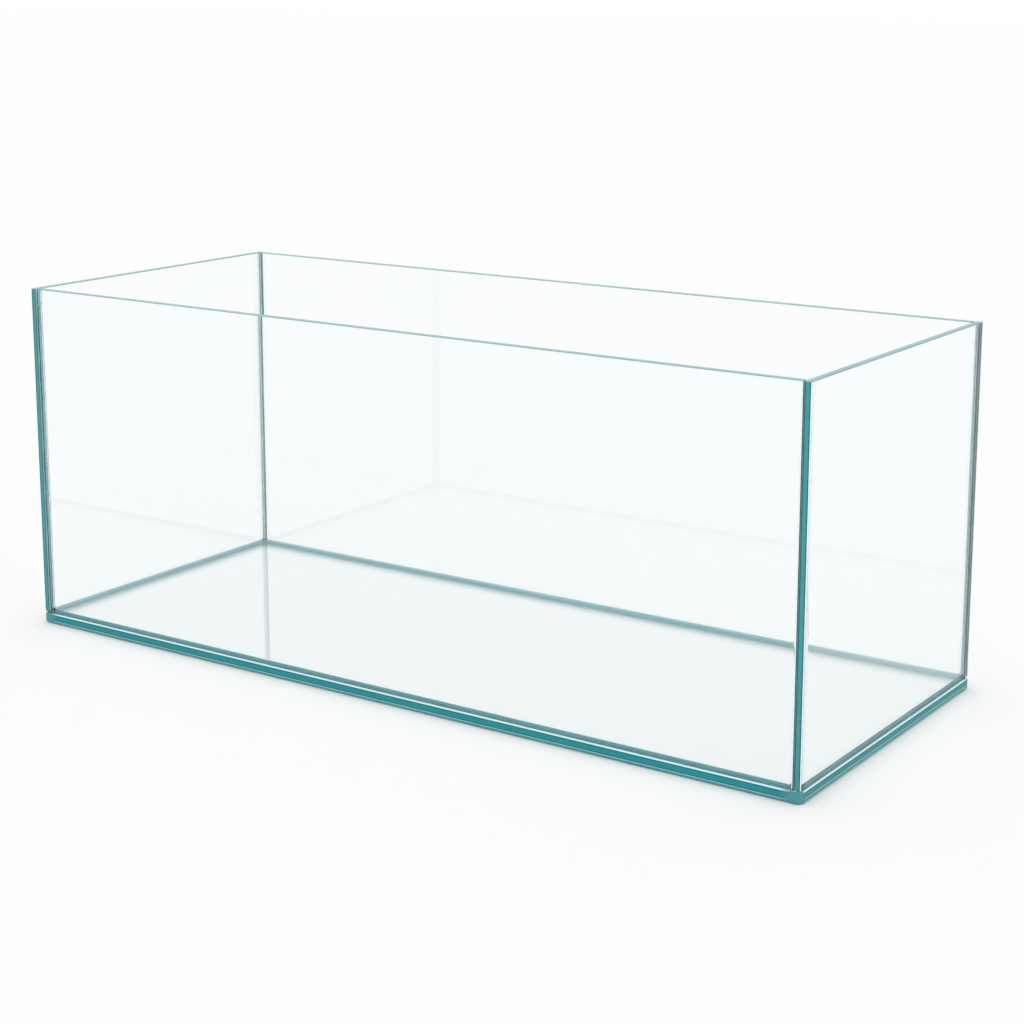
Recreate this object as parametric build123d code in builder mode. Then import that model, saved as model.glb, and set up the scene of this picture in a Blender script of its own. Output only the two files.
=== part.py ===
"""Rimless glass aquarium tank.

Four upright panes of float glass stand on a thicker base plate whose corners are rounded. The two side
panes run the full depth and show their ground ends at the front and the rear; the front and rear panes
are butted between them. A thin silicone bond fills every joint, and a tooled silicone bead seals each
inner corner.

Frame: millimetres, +Z up, the front faces -Y, origin at the centre of the base plate's underside.
"""

import os

from build123d import *

# Driving dimensions
overall_length = 1000.0  # base plate, along X
overall_depth = 400.0  # base plate, along Y
overall_height = 400.0  # underside of the base plate to the rim
pane_thickness = 8.0
base_thickness = 12.0
base_ledge = 2.0  # how far the base plate stands out past the panes
base_corner_radius = 8.0
base_arris = 1.8  # ground bevel round the base plate's two edges
pane_arris = 0.8  # ground bevel on every edge of an upright pane
bond_thickness = 1.0  # silicone between two pieces of glass
bond_corner_radius = 3.0  # keeps the side bonds' outer corners on the flat of the base plate
bead_leg = 5.0  # width of a sealing bead on each pane that it joins
bead_hollow = 0.32  # the middle of a bead's tooled face, as a share of its leg
bead_below_rim = 1.0

# Sizes that follow from them
outer_x = overall_length / 2 - base_ledge  # outer face of a side pane
outer_y = overall_depth / 2 - base_ledge  # outer face of the front or rear pane
inner_x = outer_x - pane_thickness
inner_y = outer_y - pane_thickness
side_pane_x = outer_x - pane_thickness / 2  # middle of a side pane
long_pane_y = outer_y - pane_thickness / 2  # middle of the front or rear pane
pane_foot = base_thickness + bond_thickness
pane_height = overall_height - pane_foot
long_pane_length = 2 * (inner_x - bond_thickness)  # between the bonds on the two side panes
bond_width = pane_thickness - 2 * pane_arris  # the flat of a ground edge

sides = (("left", -1), ("right", 1))
faces = (("front", -1), ("rear", 1))
finished = []


def keep(part, label):
    """Name a finished piece and list it for export."""
    part.label = label
    finished.append(part)


def bead_section(plane):
    """Cross-section of a sealing bead.

    The plane's x is measured from the glass that runs on past the joint, and its y from the inner face
    of the pane that is butted against it. The bead also fills the notch that the butted pane's arris leaves.
    """
    middle = bead_hollow * bead_leg
    with BuildSketch(plane) as section:
        with BuildLine():
            Polyline(
                (0, bead_leg),
                (0, -pane_arris),
                (bond_thickness, -pane_arris),
                (bond_thickness + pane_arris, 0),
                (bead_leg, 0),
            )
            ThreePointArc((bead_leg, 0), (middle, middle), (0, bead_leg))
        make_face()
    return section.sketch


# Base plate: rounded corners, with an arris round its top and bottom edges
with BuildPart() as base_plate:
    with BuildSketch():
        RectangleRounded(overall_length, overall_depth, base_corner_radius)
    extrude(amount=base_thickness)
    flat_faces = base_plate.faces().filter_by(Axis.Z)
    chamfer(flat_faces.edges(), length=base_arris)
keep(base_plate.part, "base_plate")

# Side panes: the full depth, with their ground ends exposed
for side, x_sign in sides:
    with BuildPart(Plane((x_sign * side_pane_x, 0, pane_foot))) as side_pane:
        Box(pane_thickness, 2 * outer_y, pane_height, align=(Align.CENTER, Align.CENTER, Align.MIN))
        chamfer(side_pane.edges(), length=pane_arris)
    keep(side_pane.part, f"{side}_pane")

# Front and rear panes: butted between the side panes, flush with their ends
for face, y_sign in faces:
    with BuildPart(Plane((0, y_sign * long_pane_y, pane_foot))) as long_pane:
        Box(long_pane_length, pane_thickness, pane_height, align=(Align.CENTER, Align.CENTER, Align.MIN))
        chamfer(long_pane.edges(), length=pane_arris)
    keep(long_pane.part, f"{face}_pane")

# Base bonds: between the base plate and the flat of each pane's lower edge
for side, x_sign in sides:
    with BuildPart(Plane((x_sign * side_pane_x, 0, base_thickness))) as side_bond:
        Box(
            bond_width,
            2 * (outer_y - pane_arris),
            bond_thickness,
            align=(Align.CENTER, Align.CENTER, Align.MIN),
        )
        upright_edges = side_bond.edges().filter_by(Axis.Z)
        outer_edges = upright_edges.group_by(Axis.X)[0 if x_sign < 0 else -1]
        fillet(outer_edges, radius=bond_corner_radius)
    keep(side_bond.part, f"{side}_base_bond")
for face, y_sign in faces:
    with BuildPart(Plane((0, y_sign * long_pane_y, base_thickness))) as long_bond:
        Box(long_pane_length, bond_width, bond_thickness, align=(Align.CENTER, Align.CENTER, Align.MIN))
    keep(long_bond.part, f"{face}_base_bond")

# Corner bonds: between a side pane's inner face and the ground end of the front or rear pane
corners = [(f"{face}_{side}", x_sign, y_sign) for face, y_sign in faces for side, x_sign in sides]
corner_bond_x = inner_x - bond_thickness / 2
corner_bond_height = overall_height - base_thickness - pane_arris
for corner, x_sign, y_sign in corners:
    with BuildPart(Plane((x_sign * corner_bond_x, y_sign * long_pane_y, base_thickness))) as corner_bond:
        Box(
            bond_thickness,
            bond_width,
            corner_bond_height,
            align=(Align.CENTER, Align.CENTER, Align.MIN),
        )
    keep(corner_bond.part, f"{corner}_corner_bond")

# Base beads: a mitred ring round the floor of the tank, one bead along each pane
base_beads = []
bead_runs = (
    ("front", inner_x, inner_y),
    ("right", inner_y, inner_x),
    ("rear", inner_x, inner_y),
    ("left", inner_y, inner_x),
)
for quarter_turns, (pane, half_run, pane_distance) in enumerate(bead_runs):
    turned = Location((0, 0, base_thickness), (0, 0, 90 * quarter_turns))
    seat = Plane(turned * Location((0, -pane_distance, 0)))  # x along the bead, y into the tank
    across = Plane(seat.origin, x_dir=seat.z_dir, z_dir=-seat.x_dir)
    foot_end = half_run + pane_arris
    toe_end = half_run - bead_leg
    with BuildPart() as base_bead:
        extrude(bead_section(across), amount=foot_end, both=True)
        with BuildSketch(seat):
            with BuildLine():
                Polyline(
                    (-foot_end, -pane_arris),
                    (foot_end, -pane_arris),
                    (toe_end, bead_leg),
                    (-toe_end, bead_leg),
                    close=True,
                )
            make_face()
        extrude(amount=bead_leg, mode=Mode.INTERSECT)
    base_beads.append(base_bead.part)
    keep(base_bead.part, f"{pane}_base_bead")

# Corner beads: from the base beads up to just below the rim
bead_height = overall_height - base_thickness - bead_below_rim
for corner, x_sign, y_sign in corners:
    seat = Plane(
        (x_sign * inner_x, y_sign * inner_y, base_thickness),
        x_dir=(-x_sign, 0, 0),
        z_dir=(0, 0, x_sign * y_sign),
    )
    with BuildPart() as corner_bead:
        extrude(bead_section(seat), amount=bead_height, dir=(0, 0, 1))
        add(base_beads, mode=Mode.SUBTRACT)
    keep(corner_bead.part, f"{corner}_corner_bead")

os.makedirs("parts", exist_ok=True)
for part in finished:
    export_step(part, f"parts/{part.label}.step")
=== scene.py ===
"""Looks of a rimless glass aquarium tank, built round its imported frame.

Everything is in metres, +Z up, with the front of the tank facing -Y. The file follows a fabricator's
bench: the base plate, the upright panes, the silicone bonds laid between them, the sealing beads tooled
into the inner corners, and then the studio.
"""

from math import atan2, cos, radians, sin, sqrt

import bmesh
import bpy
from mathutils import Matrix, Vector, noise


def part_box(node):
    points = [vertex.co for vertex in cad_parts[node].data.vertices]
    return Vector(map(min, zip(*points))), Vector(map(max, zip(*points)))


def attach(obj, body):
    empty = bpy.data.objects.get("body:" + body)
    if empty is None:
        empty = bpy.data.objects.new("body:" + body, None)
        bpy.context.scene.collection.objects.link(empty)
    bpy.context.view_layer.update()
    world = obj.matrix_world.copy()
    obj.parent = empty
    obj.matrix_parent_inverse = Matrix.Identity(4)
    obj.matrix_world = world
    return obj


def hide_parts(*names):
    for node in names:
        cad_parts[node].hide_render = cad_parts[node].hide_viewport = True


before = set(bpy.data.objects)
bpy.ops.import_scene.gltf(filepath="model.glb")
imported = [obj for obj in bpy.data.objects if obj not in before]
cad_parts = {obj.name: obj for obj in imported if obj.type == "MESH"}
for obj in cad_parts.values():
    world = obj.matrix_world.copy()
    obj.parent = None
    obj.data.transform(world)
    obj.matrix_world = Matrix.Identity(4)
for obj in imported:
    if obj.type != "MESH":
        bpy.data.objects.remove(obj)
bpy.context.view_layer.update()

# Base plate
# One sheet of 12 mm float glass, clear through its thickness and green-blue along its length. Its edge is
# ground flat, arrised at both rims and polished, and fine lines of painted highlight and painted shade run
# along it.


class Wire:
    """A shader socket that takes part in ordinary arithmetic, with one Math node to each operation."""

    def __init__(self, tree, socket=None):
        self.tree = tree
        self.socket = socket

    def node(self, kind, settings=(), inputs=(), output=0):
        """Add a node, set it up, feed its inputs with values or wires, and return one of its outputs."""
        made = self.tree.nodes.new("ShaderNode" + kind)
        for name, setting in dict(settings).items():
            setattr(made, name, setting)
        for name, value in dict(inputs).items():
            if isinstance(value, Wire):
                self.tree.links.new(value.socket, made.inputs[name])
            else:
                made.inputs[name].default_value = value
        return Wire(self.tree, made.outputs[output] if made.outputs else None)

    def maths(self, operation, *values):
        return self.node("Math", {"operation": operation}, enumerate(values))

    def __add__(self, other):
        return self.maths("ADD", self, other)

    def __sub__(self, other):
        return self.maths("SUBTRACT", self, other)

    def __rsub__(self, other):
        return self.maths("SUBTRACT", other, self)

    def __mul__(self, other):
        return self.maths("MULTIPLY", self, other)

    __radd__ = __add__
    __rmul__ = __mul__

    def __abs__(self):
        return self.maths("ABSOLUTE", self)

    def rise(self, low, high):
        """0 up to low and 1 from high, with an even rise between them."""
        return self.node("MapRange", {"clamp": True}, {"Value": self, "From Min": low, "From Max": high})

    def mix(self, first, second):
        """The first colour where this wire is 0 and the second where it is 1."""
        return self.node("Mix", {"data_type": "RGBA"}, {0: self, 6: first, 7: second}, output=2)


def new_finish(name):
    """An empty material, and a wire to start its shader tree from."""
    material = bpy.data.materials.new(name)
    material.use_nodes = True
    material.node_tree.nodes.clear()
    return material, Wire(material.node_tree)


def tint(red, green, blue):
    return (red, green, blue, 1.0)


glass_bending = 1.52
glass_depth = 2.6  # how strongly a metre of the glass takes red out of the light
glass_passes = tint(0.0, 0.70, 0.73)
face_begins = 0.8  # how squarely a surface looks along the sheet's thickness before it counts as its face
face_full = 0.9
waviness = 6e-6  # height of the float's slow waves
wave_scale = 7.0
grinding_height = 4e-7
grinding_fine = 1800.0  # lines to a metre across the edge
grinding_run = 15.0
ground_share = 0.85  # how much of the light that meets a ground edge is scattered there
ground_roughness = 0.35
ground_varies = 0.1
ground_shine = 0.2
polish = 0.15  # roughness of the edge to the light that gets through it
polish_varies = 0.04
soft = 0.0001  # the width over which one colour gives way to the next


def parts_of(vector):
    """The three parts of a vector, by the names of their axes."""
    return {axis: vector.node("SeparateXYZ", inputs={0: vector}, output=axis) for axis in "XYZ"}


def float_glass(name, thickness_axis, face_wash, edge_wash, edge_colour, edge_clears):
    """Clear float glass, whose ground edges are the faces that don't look along thickness_axis.

    edge_colour makes the colour of the light that the edges scatter, from where they look and where they
    lie. edge_clears makes the share of that scatter that they lose, from where they lie.
    """
    material, start = new_finish(name)
    place = start.node("TexCoord", output="Object")
    looks = parts_of(start.node("TexCoord", output="Normal"))
    edge = 1 - abs(looks[thickness_axis]).rise(face_begins, face_full)
    across = [grinding_fine if axis == thickness_axis else grinding_run for axis in "XYZ"]
    stretched = start.node("Mapping", inputs={0: place, "Scale": across})
    lines = start.node("TexNoise", inputs={"Vector": stretched, "Scale": 1.0, "Detail": 2.0})
    waves = start.node("TexNoise", inputs={"Vector": place, "Scale": wave_scale, "Detail": 0.0})
    height = waves * (1 - edge) * waviness + lines * edge * grinding_height
    relief = start.node("Bump", inputs={"Height": height, "Distance": 1.0})
    clear = start.node(
        "BsdfPrincipled",
        inputs={
            "Base Color": edge.mix(face_wash, edge_wash),
            "Roughness": edge * (lines * polish_varies + polish),
            "IOR": glass_bending,
            "Transmission Weight": 1.0,
            "Normal": relief,
        },
    )
    ground = start.node(
        "BsdfPrincipled",
        inputs={
            "Base Color": edge_colour(looks, parts_of(place)),
            "Roughness": lines * ground_varies + ground_roughness,
            "IOR": glass_bending,
            "Specular IOR Level": ground_shine,
            "Normal": relief,
        },
    )
    share = edge * (1 - edge_clears(parts_of(place))) * ground_share
    surface = start.node("MixShader", inputs={0: share, 1: clear, 2: ground})
    body = start.node("VolumeAbsorption", inputs={"Color": glass_passes, "Density": glass_depth})
    start.node("OutputMaterial", inputs={"Surface": surface, "Volume": body})
    return material


def finish_node(node, material):
    """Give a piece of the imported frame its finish."""
    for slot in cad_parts[node].material_slots:
        slot.material = material


base_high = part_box("base_plate")[1]
base_top = base_high.z
base_arris = 0.0018
base_face_wash = tint(0.985, 0.972, 0.970)
base_edge_wash = tint(0.06, 0.50, 0.52)
base_deep = tint(0.006, 0.30, 0.33)
base_border_shade = tint(0.001, 0.18, 0.21)  # painted shade: the edge is darker where it turns into its arrises
base_lit_arris = tint(0.85, 0.97, 0.97)
base_low_band = tint(0.10, 0.32, 0.35)
base_ridge = tint(0.50, 0.64, 0.66)  # a line that catches the light above the low band
lit_share = 0.7  # how much of the upper arris catches the light
lit_from = base_top - base_arris * lit_share
low_band = 0.0031
low_band_side = 0.0017  # how much higher the band is on the short edges
ridge = 0.0007
# width of the painted shade lines at the edge's borders
border = 0.0011
border_soft = 0.2  # the share of a border's width over which it fades
base_corner = tint(0.08, 0.32, 0.35)  # the belt that rounds a corner polishes its arrises away
corner_reach_long = 0.024  # how far along each edge that colour sets in; it is full from halfway
corner_reach_short = 0.010


def base_edge_colour(looks, lies):
    above_ridge = lies["Z"] - abs(looks["X"]) * low_band_side - low_band - ridge
    low_border_shade = 1 - above_ridge.rise(border * (1 - border_soft), border * (1 + border_soft))
    high_border_shade = lies["Z"].rise(lit_from - border, lit_from - border * (1 - border_soft))
    colour = (low_border_shade + high_border_shade).mix(base_deep, base_border_shade)
    colour = lies["Z"].rise(lit_from, lit_from + 2 * soft).mix(colour, base_lit_arris)
    colour = above_ridge.rise(-soft, soft).mix(base_ridge, colour)
    colour = above_ridge.rise(-ridge - soft, -ridge + soft).mix(base_low_band, colour)
    near_end = abs(lies["X"]).rise(base_high.x - corner_reach_long, base_high.x - corner_reach_long / 2)
    near_side = abs(lies["Y"]).rise(base_high.y - corner_reach_short, base_high.y - corner_reach_short / 2)
    return (near_end * near_side).mix(colour, base_corner)


base_glass = float_glass(
    "base_plate_glass",
    "Z",
    face_wash=base_face_wash,
    edge_wash=base_edge_wash,
    edge_colour=base_edge_colour,
    edge_clears=lambda lies: 0.0,
)
finish_node("base_plate", base_glass)

# Upright panes
# Four sheets of 8 mm float glass with every edge ground, arrised and polished. The side panes run the full
# depth, so their ends show at the front and the rear.
inner_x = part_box("right_pane")[0].x
outer_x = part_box("right_pane")[1].x
inner_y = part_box("rear_pane")[0].y
outer_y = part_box("rear_pane")[1].y
pane_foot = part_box("rear_pane")[0].z
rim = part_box("rear_pane")[1].z
pane_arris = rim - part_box("rear_right_corner_bond")[1].z
bond_thickness = pane_foot - base_top
pane_face_wash = tint(1.0, 1.0, 1.0)
side_edge_wash = tint(0.03, 0.50, 0.52)
long_edge_wash = tint(0.80, 0.93, 0.94)
pane_frost = tint(0.97, 1.0, 1.0)  # the arrises are ground and left matt
pane_groove = tint(0.27, 0.52, 0.55)  # arrises that face a joint are in its shade
pane_rim = tint(0.27, 0.54, 0.58)
# painted shade: a darker line along each side of a rim
pane_rim_border_shade = tint(0.25, 0.42, 0.43)
pane_foot_colour = tint(0.10, 0.60, 0.66)
open_end = tint(0.045, 0.33, 0.34)
# painted shade: a dark line along each side of a side pane's open end
open_end_border_shade = tint(0.02, 0.09, 0.12)
bonded_end = tint(0.62, 0.80, 0.81)
border_begins = 0.62  # how far out from the middle of an edge its border is, as a share of the flat's half
border_full = 0.68
slant = (0.6, 0.8)  # an arris looks this squarely along the pane's thickness
slant_soft = 0.1
level_begins = 0.5  # how squarely a rim looks up, or a foot down
level_full = 0.6
filled = 0.9  # how much of the grinding's scatter goes where silicone fills it
rear_end_clears = 0.65  # the rear ends are polished clearer than the front ones


def band(wire, low, high, soft_edge):
    """1 where the wire lies between low and high, and 0 from soft_edge outside them."""
    return wire.rise(low - soft_edge, low) * (1 - wire.rise(high, high + soft_edge))


def pane_edge_colour(axis, inside, outside, end_colour, end_border):
    """The edge colour of panes that stand from inside to outside along axis, at each side of the tank."""
    middle = (inside + outside) / 2
    flat = (outside - inside) / 2 - pane_arris

    def edge_colour(looks, lies):
        # at_border marks the lines beside each face, where the rim borders and a side pane's end borders
        # paint shade
        at_border = abs(abs(lies[axis]) - middle).rise(flat * border_begins, flat * border_full)
        colour = at_border.mix(end_colour, end_border)
        arris = band(abs(looks[axis]), *slant, slant_soft)
        outward = abs(lies[axis]).rise(middle, middle + soft)
        colour = arris.mix(colour, outward.mix(pane_groove, pane_frost))
        rim_colour = at_border.mix(pane_rim, pane_rim_border_shade)
        colour = looks["Z"].rise(level_begins, level_full).mix(colour, rim_colour)
        return (0 - looks["Z"]).rise(level_begins, level_full).mix(colour, pane_foot_colour)

    return edge_colour


def side_edge_clears(lies):
    """A side pane's foot is filled as far as its outer arris, and its rear end is clearer."""
    foot = 1 - lies["Z"].rise(pane_foot + pane_arris, pane_foot + pane_arris + soft)
    within = 1 - abs(lies["X"]).rise(outer_x - pane_arris - soft, outer_x - pane_arris)
    return foot * within * filled + lies["Y"].rise(outer_y - soft, outer_y) * rear_end_clears


def long_edge_clears(lies):
    """A front or rear pane's foot and ends are filled, but not its outer arrises and its rim."""
    above = lies["Z"].rise(pane_foot + pane_arris, pane_foot + pane_arris + soft)
    bonded_from = inner_x - bond_thickness - pane_arris
    away = 1 - abs(lies["X"]).rise(bonded_from - soft, bonded_from)
    within = 1 - abs(lies["Y"]).rise(outer_y - pane_arris - soft, outer_y - pane_arris)
    below_rim = 1 - lies["Z"].rise(rim - pane_arris - soft, rim - pane_arris)
    return (1 - above * away) * within * below_rim * filled


side_glass = float_glass(
    "side_pane_glass",
    "X",
    face_wash=pane_face_wash,
    edge_wash=side_edge_wash,
    edge_colour=pane_edge_colour("X", inner_x, outer_x, open_end, open_end_border_shade),
    edge_clears=side_edge_clears,
)
for side in ("left", "right"):
    finish_node(f"{side}_pane", side_glass)
long_glass = float_glass(
    "long_pane_glass",
    "Y",
    face_wash=pane_face_wash,
    edge_wash=long_edge_wash,
    edge_colour=pane_edge_colour("Y", inner_y, outer_y, bonded_end, bonded_end),
    edge_clears=long_edge_clears,
)
for face in ("front", "rear"):
    finish_node(f"{face}_pane", long_glass)

# Silicone bonds
# A layer of clear silicone, 1 mm thick, holds each pane to its neighbour. It is squeezed out to the arrises
# as the panes are pressed together, so its sides are hollow and wander a little.
wetting = 0.00005  # how far silicone is let into the glass that it wets, so that light passes between them
bond_width = outer_y - inner_y - 2 * pane_arris
bond_hollow = 0.00025
bond_wander = 0.0003
open_end_radius = 0.003
butted_end_radius = 0.0005
station_gap = 0.006  # between the rings that a bond or a bead is built of
wander_scale = 45.0
sharp_turn = radians(35)  # faces that meet at more than this keep a sharp edge
silicone_bending = 1.41
silicone_depth = 12.0
silicone_sheen = 0.03
mottle_scale = 110.0
mottle_height = 1.2e-5
mottle_in_sheen = 0.06
mottle_in_haze = 0.15
haze_least = 0.92  # the share of its haze that the silicone has where the mottle is thinnest
milky_roughness = 0.25


def silicone(name, wash, haze):
    """Clear silicone with a soft sheen, washed with a colour.

    haze makes the share of the light that it scatters, and the colour that it does so in. At the corner
    bonds it paints shade in the groove, and at the base beads' roots it paints the green of the glass edges
    seen through them.
    """
    material, start = new_finish(name)
    place = start.node("TexCoord", output="Object")
    looks = start.node("TexCoord", output="Normal")
    mottle = start.node("TexNoise", inputs={"Vector": place, "Scale": mottle_scale, "Detail": 2.0})
    relief = start.node("Bump", inputs={"Height": mottle * mottle_height, "Distance": 1.0})
    share, colour = haze(parts_of(looks), parts_of(place))
    clear = start.node(
        "BsdfPrincipled",
        inputs={
            "Base Color": wash,
            "Roughness": mottle * mottle_in_sheen + silicone_sheen,
            "IOR": silicone_bending,
            "Transmission Weight": 1.0,
            "Normal": relief,
        },
    )
    milky = start.node(
        "BsdfPrincipled",
        inputs={
            "Base Color": colour,
            "Roughness": mottle * mottle_in_sheen + milky_roughness,
            "IOR": silicone_bending,
            "Specular IOR Level": ground_shine,
            "Normal": relief,
        },
    )
    mottled_share = (mottle * mottle_in_haze + haze_least) * share
    surface = start.node("MixShader", inputs={0: mottled_share, 1: clear, 2: milky})
    body = start.node("VolumeAbsorption", inputs={"Color": glass_passes, "Density": silicone_depth})
    start.node("OutputMaterial", inputs={"Surface": surface, "Volume": body})
    return material


def lofted(name, rings, material, node):
    """A closed piece through rings that have as many points each, in place of one of the frame's nodes."""
    corners = len(rings[0])
    mesh = bpy.data.meshes.new(name)
    shape = bmesh.new()
    rows = [[shape.verts.new(point) for point in ring] for ring in rings]
    for row, following in zip(rows, rows[1:]):
        for i in range(corners):
            j = (i + 1) % corners
            shape.faces.new((row[i], row[j], following[j], following[i]))
    shape.faces.new(rows[0])
    shape.faces.new(rows[-1])
    bmesh.ops.recalc_face_normals(shape, faces=shape.faces)
    shape.to_mesh(mesh)
    shape.free()
    mesh.shade_smooth()
    mesh.set_sharp_from_angle(angle=sharp_turn)
    mesh.materials.append(material)
    piece = bpy.data.objects.new(name, mesh)
    bpy.context.scene.collection.objects.link(piece)
    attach(piece, "root")
    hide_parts(node)


def stations(length):
    """Even steps from 0 to 1 along a run."""
    steps = max(2, round(length / station_gap))
    return [i / steps for i in range(steps + 1)]


def wander(point, size):
    """A smooth change of up to about size from place to place."""
    return size * noise.noise(point * wander_scale)


def bond(node, start, end, across, through, end_radius, finish):
    """A bond from start to end, bond_width wide along across and bond_thickness thick along through."""
    length = (end - start).length
    layers = [-1, -0.5, 0, 0.5, 1]
    rings = []
    for t in stations(length):
        middle = start.lerp(end, t)
        from_end = min(t, 1 - t) * length
        rounding = 0.0
        if from_end < end_radius:
            rounding = end_radius - sqrt(end_radius**2 - (end_radius - from_end) ** 2)
        ring = []
        for side in (-1, 1):
            reach = bond_width / 2 - rounding - bond_wander / 2 + wander(middle + side * across, bond_wander)
            for layer in layers if side < 0 else reversed(layers):
                out = reach - bond_hollow * (1 - layer**2)
                up = layer * (bond_thickness / 2 + wetting)
                ring.append(middle + side * out * across + up * through)
        rings.append(ring)
    lofted(node + "_silicone", rings, finish, node)


base_bond_wash = tint(0.25, 0.72, 0.76)
base_bond_colour = tint(0.05, 0.42, 0.47)
base_bond_milk = 0.15  # the share of the light that it scatters everywhere
base_bond_side_milk = 0.45  # and the share that its sides add
base_bond_flat_begins = 0.7  # how squarely a surface looks up or down before it counts as the flat
base_bond_flat_full = 0.8
corner_bond_wash = tint(0.50, 0.78, 0.81)
corner_bond_groove_shade = tint(0.02, 0.06, 0.08)  # painted shade: dark where it is seen end on, in the groove between two arrises
corner_bond_shade_share = 0.9
groove_shade_depth = 0.003
groove_shade_from = outer_y - pane_arris - groove_shade_depth


# The corner bonds scatter only painted shade, where they are seen end on between two arrises.
def corner_bond_painted_shade(looks, lies):
    return abs(lies["Y"]).rise(groove_shade_from, groove_shade_from + 2 * soft) * corner_bond_shade_share, corner_bond_groove_shade


def base_bond_haze(looks, lies):
    at_side = 1 - abs(looks["Z"]).rise(base_bond_flat_begins, base_bond_flat_full)
    return at_side * base_bond_side_milk + base_bond_milk, base_bond_colour


base_bond_finish = silicone("base_bond_silicone", base_bond_wash, base_bond_haze)
corner_bond_finish = silicone("corner_bond_silicone", corner_bond_wash, corner_bond_painted_shade)
east, north, up = Vector((1, 0, 0)), Vector((0, 1, 0)), Vector((0, 0, 1))
side_middle = (inner_x + outer_x) / 2
long_middle = (inner_y + outer_y) / 2
bond_level = (base_top + pane_foot) / 2
for side, x_sign in (("left", -1), ("right", 1)):
    middle = Vector((x_sign * side_middle, 0, bond_level))
    reach = (outer_y - pane_arris) * north
    bond(f"{side}_base_bond", middle - reach, middle + reach, east, up, open_end_radius, base_bond_finish)
for face, y_sign in (("front", -1), ("rear", 1)):
    middle = Vector((0, y_sign * long_middle, bond_level))
    reach = (inner_x - bond_thickness) * east
    bond(f"{face}_base_bond", middle - reach, middle + reach, north, up, butted_end_radius, base_bond_finish)
corners = [
    (f"{face}_{side}", x_sign, y_sign)
    for face, y_sign in (("front", -1), ("rear", 1))
    for side, x_sign in (("left", -1), ("right", 1))
]
for corner, x_sign, y_sign in corners:
    foot = Vector((x_sign * (inner_x - bond_thickness / 2), y_sign * long_middle, base_top))
    head = foot + (rim - pane_arris - base_top) * up
    bond(f"{corner}_corner_bond", foot, head, north, east, butted_end_radius, corner_bond_finish)

# Sealing beads
# A second, wider pass of clear silicone in each inner corner, tooled to a smooth hollow face with a round
# tool. The tool's width wavers by a few hundredths of a bead.
bead_leg = 0.005
bead_middle = 0.32  # the middle of the tooled face, as a share of the leg
bead_below_rim = 0.001
bead_waver = 0.05
face_steps = 10
arc_centre = (1 - 2 * bead_middle**2) / (2 - 4 * bead_middle)
arc_radius = sqrt(arc_centre**2 + (1 - arc_centre) ** 2)


def bead_section(place):
    """Corners of a bead's section: how far each is from the glass that runs on, and from the butted pane."""
    leg_on = bead_leg * (1 + wander(place, bead_waver))
    leg_butted = bead_leg * (1 + wander(place + up, bead_waver))
    section = [
        (-wetting, leg_butted),
        (-wetting, -pane_arris - wetting),
        (bond_thickness + wetting, -pane_arris - wetting),
        (bond_thickness + pane_arris + wetting, -wetting),
        (leg_on, -wetting),
    ]
    first = atan2(-arc_centre, 1 - arc_centre)
    last = atan2(1 - arc_centre, -arc_centre)
    for i in range(face_steps + 1):
        angle = first + (last - first) * i / face_steps
        from_on = leg_on * (arc_centre + arc_radius * cos(angle))
        from_butted = leg_butted * (arc_centre + arc_radius * sin(angle))
        section.append((from_on, from_butted))
    return section


def bead_height(inward):
    """How high a base bead stands at this distance in from its pane."""
    if inward < 0:
        return bond_thickness + pane_arris + inward
    share = min(inward / bead_leg, 1)
    return bead_leg * (arc_centre - sqrt(arc_radius**2 - (arc_centre - share) ** 2))


bead_wash = tint(0.96, 0.985, 0.985)
bead_clear = tint(0.85, 0.95, 0.96)
# The roots are painted with the green of the glass edges seen through them.
bead_tooled_root = tint(0.22, 0.54, 0.58)
bead_wetted_root = tint(0.10, 0.72, 0.78)
bead_milk = 0.25  # the share of the light that a base bead's tooled face scatters
bead_root_milk = 0.28  # and the share that its root adds
bead_wetted_milk = 0.7
corner_bead_milk = 0.08
tooled_root = 0.0022  # below these heights a base bead's tooled and wetted faces are painted with the green of the glass edges that show through them
wetted_root = 0.0032
tooled_begins = 0.1  # how far a surface turns from the two panes before it counts as tooled
tooled_full = 0.25
corner_tooled_full = 0.2


def base_bead_haze(looks, lies):
    height = lies["Z"] - base_top
    tooled = looks["Z"].rise(tooled_begins, tooled_full)
    upright = 1 - abs(looks["Z"]).rise(tooled_begins, tooled_full)
    tooled_low = 1 - height.rise(tooled_root, tooled_root + 3 * soft)
    wetted_low = 1 - height.rise(wetted_root, wetted_root + 3 * soft)
    share = tooled * (tooled_low * bead_root_milk + bead_milk) + upright * wetted_low * bead_wetted_milk
    tooled_colour = tooled_low.mix(bead_clear, bead_tooled_root)
    return share, tooled.mix(bead_wetted_root, tooled_colour)


def corner_bead_haze(looks, lies):
    tooled = abs(looks["X"] * looks["Y"]).rise(tooled_begins, corner_tooled_full)
    return tooled * corner_bead_milk, bead_clear


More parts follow.
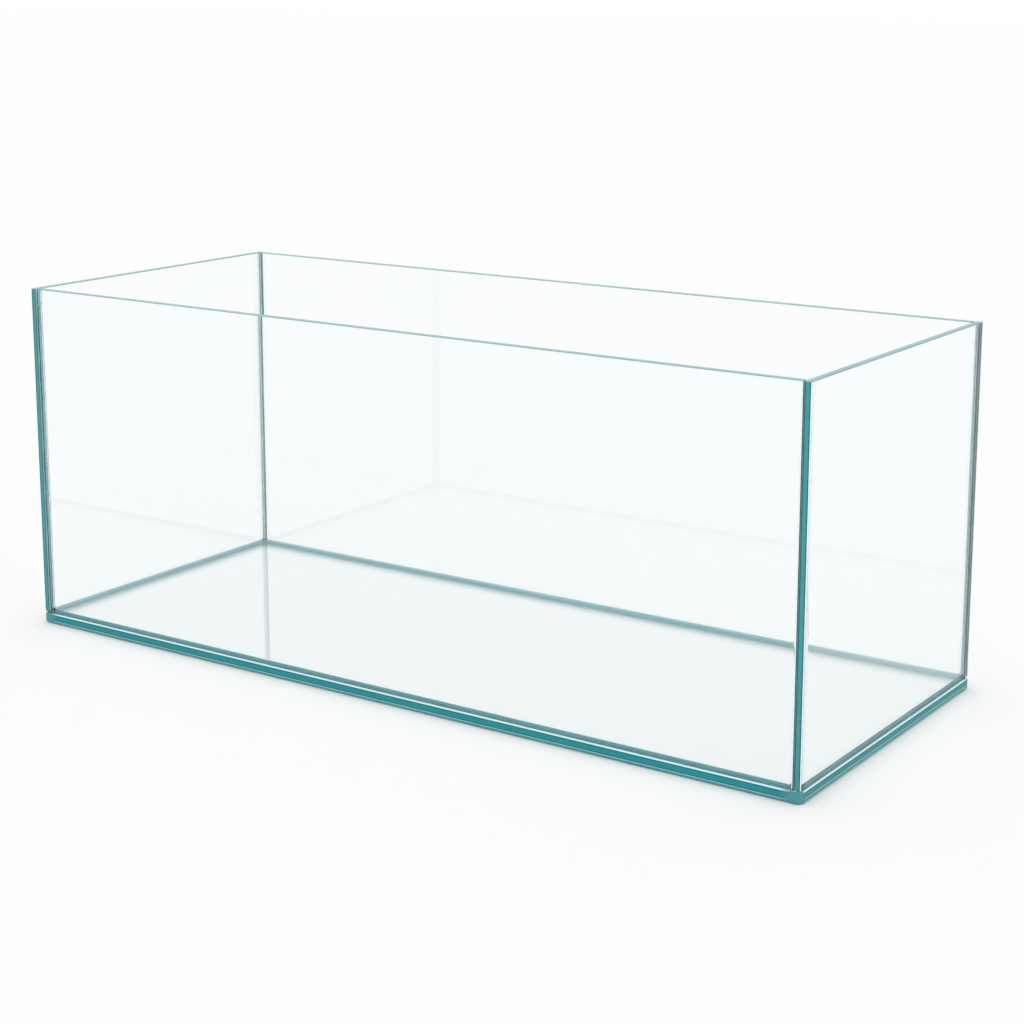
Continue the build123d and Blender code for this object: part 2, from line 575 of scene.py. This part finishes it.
base_bead_finish = silicone("base_bead_silicone", bead_wash, base_bead_haze)
corner_bead_finish = silicone("corner_bead_silicone", bead_wash, corner_bead_haze)
runs = (
    ("front", -north, inner_y, east, inner_x),
    ("rear", north, inner_y, east, inner_x),
    ("left", -east, inner_x, north, inner_y),
    ("right", east, inner_x, north, inner_y),
)
for pane, outward, distance, along, half_run in runs:
    rings = []
    for t in stations(2 * half_run):
        place = outward * distance + along * (2 * t - 1) * half_run
        ring = []
        for height, inward in bead_section(place):
            mitred = (2 * t - 1) * (half_run - inward + wetting)
            ring.append(outward * (distance - inward) + along * mitred + up * (base_top + height))
        rings.append(ring)
    lofted(f"{pane}_base_bead_silicone", rings, base_bead_finish, f"{pane}_base_bead")
for corner, x_sign, y_sign in corners:
    top = rim - bead_below_rim
    rings = []
    for t in stations(top - base_top):
        ring = []
        level = base_top + bead_leg + t * (top - base_top - bead_leg)
        for from_side, from_long in bead_section(Vector((x_sign, y_sign, level))):
            z = level
            if t == 0:
                z = base_top + bead_height(min(from_side, from_long)) - wetting
            ring.append(Vector((x_sign * (inner_x - from_side), y_sign * (inner_y - from_long), z)))
        rings.append(ring)
    lofted(f"{corner}_corner_bead_silicone", rings, corner_bead_finish, f"{corner}_corner_bead")

# Studio
# A white sweep of paper lies under an even white light, and the camera looks down a little on the tank from
# beyond its front right corner.
floor_size = 60.0
floor_drop = 0.0003  # the base plate stands on the sweep without touching it
floor_white = tint(0.93, 0.93, 0.93)
bpy.ops.mesh.primitive_plane_add(size=floor_size, location=(0, 0, -floor_drop))
floor = bpy.context.object
floor.name = "floor"
sweep, start = new_finish("floor_white")
paper = start.node(
    "BsdfPrincipled",
    inputs={"Base Color": floor_white, "Roughness": 1.0, "Specular IOR Level": 0.0},
)
start.node("OutputMaterial", inputs={"Surface": paper})
floor.data.materials.append(sweep)

light_white = tint(1.0, 1.0, 1.0)
light_strength = 1.06
bounces = 160  # light that runs along inside a pane meets its faces a great many times
scattered_bounces = 16
scene = bpy.context.scene
scene.world = bpy.data.worlds.new("studio")
scene.world.use_nodes = True
background = scene.world.node_tree.nodes["Background"]
background.inputs["Color"].default_value = light_white
background.inputs["Strength"].default_value = light_strength
scene.view_settings.view_transform = "Standard"
scene.cycles.max_bounces = bounces
scene.cycles.transmission_bounces = bounces
scene.cycles.glossy_bounces = bounces
scene.cycles.diffuse_bounces = scattered_bounces
scene.cycles.blur_glossy = 0.0

camera_place = (1.316, -1.863, 0.757)
camera_pitch = radians(90 - 11.21)
camera_heading = radians(34.44)
camera_lens = 73.9
film_width = 36.0
falling_front = -0.12  # lets the camera look down less steeply, so the uprights draw together less
camera_reach = 200.0
lens = bpy.data.cameras.new("camera")
lens.lens = camera_lens
lens.sensor_width = film_width
lens.shift_y = falling_front
lens.clip_end = camera_reach
camera = bpy.data.objects.new("camera", lens)
camera.location = camera_place
camera.rotation_euler = (camera_pitch, 0, camera_heading)
scene.collection.objects.link(camera)
scene.camera = camera
